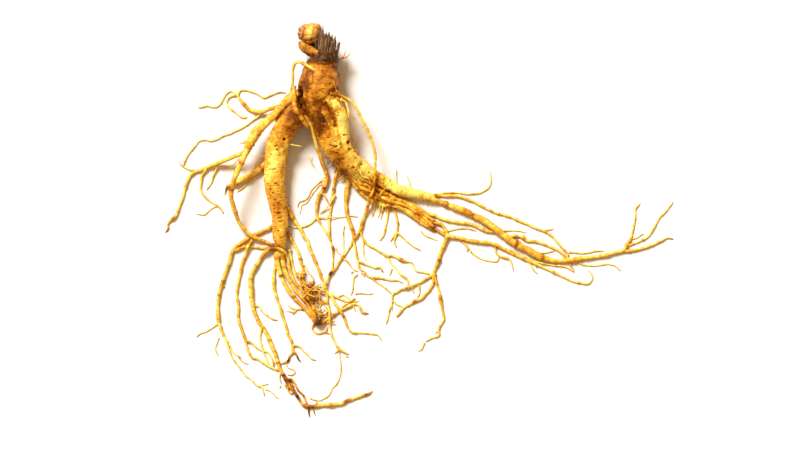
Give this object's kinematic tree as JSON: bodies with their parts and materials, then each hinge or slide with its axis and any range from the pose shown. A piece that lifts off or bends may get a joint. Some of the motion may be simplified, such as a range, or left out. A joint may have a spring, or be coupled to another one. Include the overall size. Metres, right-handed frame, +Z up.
{
  "type": "ginseng root",
  "caption": "Fresh ginseng root laid on a surface: thick main root forking into two legs, with long fibre roots, a winter bud and a scaly stem stump.",
  "frame": {"origin": "centre of the outline on the surface that the root lies on", "axes": "+Z up from the surface, +Y towards the crown, +X towards the long right-hand roots"},
  "size_m": [0.306, 0.2371, 0.0252],
  "materials": {
    "root_skin": "moist waxy root skin, slightly glossy",
    "bud_skin": "smooth waxy bud",
    "stump_bark": "dry fibrous, matt",
    "dry_scale": "dry papery, matt"
  },
  "bodies": {
    "root": {"root": "root_skin", "winter_bud": "bud_skin", "stem_stump": "stump_bark", "dry_scale_1": "dry_scale", "dry_scale_2": "dry_scale", "dry_scale_3": "dry_scale", "dry_scale_4": "dry_scale", "dry_scale_5": "dry_scale", "dry_scale_6": "dry_scale", "dry_scale_7": "dry_scale", "dry_scale_8": "dry_scale"}
  },
  "joints": []
}
